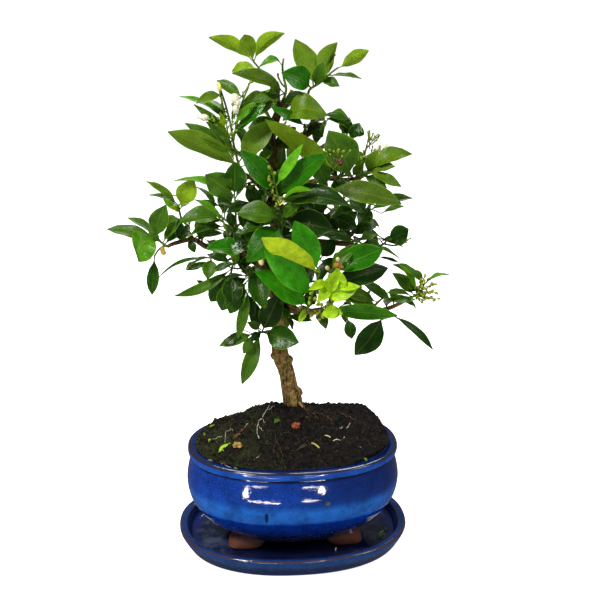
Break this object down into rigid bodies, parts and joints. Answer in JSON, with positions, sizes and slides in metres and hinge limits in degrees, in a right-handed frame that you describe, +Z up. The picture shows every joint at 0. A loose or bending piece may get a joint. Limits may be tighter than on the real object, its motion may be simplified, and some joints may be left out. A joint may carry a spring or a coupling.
{
  "type": "citrus bonsai",
  "caption": "Small citrus tree with glossy leaves, flower buds and young fruit, rooted in dark soil in an oval footed pot of blue glazed ceramic that stands on its matching saucer.",
  "frame": {"origin": "middle of the saucer's flat underside, where it stands", "axes": "+Z up; +X along the pot's long side, to the right as seen from the front; +Y to the back"},
  "size_m": [0.3049, 0.1965, 0.4767],
  "materials": {
    "blue_glaze": "deep blue gloss glaze over stoneware, thin and brown at the rim edges; feet unglazed terracotta",
    "dark_peat": "moist dark peat, crumbly and matt",
    "bark": "fissured brown bark, matt",
    "foliage": "glossy dark green leaves with lime young growth, green shoots, white and yellow-green buds",
    "fired_clay": "rough unglazed fired clay",
    "dry_chip": "dry yellow-brown bark chip",
    "lime_leaflet": "lime green fallen leaflet",
    "green_leaflet": "green fallen leaflet",
    "dry_twig": "dry straw-coloured twig"
  },
  "bodies": {
    "root": {"saucer": "blue_glaze", "pot": "blue_glaze", "soil": "dark_peat", "trunk_and_branches": "bark", "spray_top_left": "foliage", "spray_leader": "foliage", "spray_top_low": "foliage", "spray_top_right": "foliage", "spray_upper_left": "foliage", "spray_left_upper": "foliage", "spray_left_arch": "foliage", "spray_far_left": "foliage", "spray_left_high": "foliage", "spray_left_low": "foliage", "spray_left_hanging": "foliage", "spray_left_inner": "foliage", "spray_front_upper": "foliage", "spray_front_middle": "foliage", "spray_front_left": "foliage", "spray_front_low": "foliage", "spray_front_right": "foliage", "spray_front_foot": "foliage", "spray_low_left": "foliage", "spray_low_right": "foliage", "spray_right_top": "foliage", "spray_right_flower": "foliage", "spray_right_upper": "foliage", "spray_right_middle": "foliage", "spray_right_dangling": "foliage", "spray_right_end": "foliage", "spray_right_inner": "foliage", "spray_right_low": "foliage", "spray_right_fan": "foliage", "spray_right_tip": "foliage", "spray_right_hanging": "foliage", "spray_inner_low": "foliage", "spray_inner_right": "foliage", "spray_inner_left": "foliage", "spray_centre": "foliage", "spray_back_top": "foliage", "spray_back_upper_left": "foliage", "spray_back_upper_right": "foliage", "spray_back_high": "foliage", "spray_back_left": "foliage", "spray_back_right": "foliage", "spray_back_middle": "foliage", "spray_back_low_left": "foliage", "spray_back_low_right": "foliage", "spray_back_low": "foliage", "clay_crumb": "fired_clay", "bark_chip": "dry_chip", "lime_leaflet": "lime_leaflet", "fallen_leaflet": "green_leaflet", "fallen_twig": "dry_twig"}
  },
  "joints": []
}
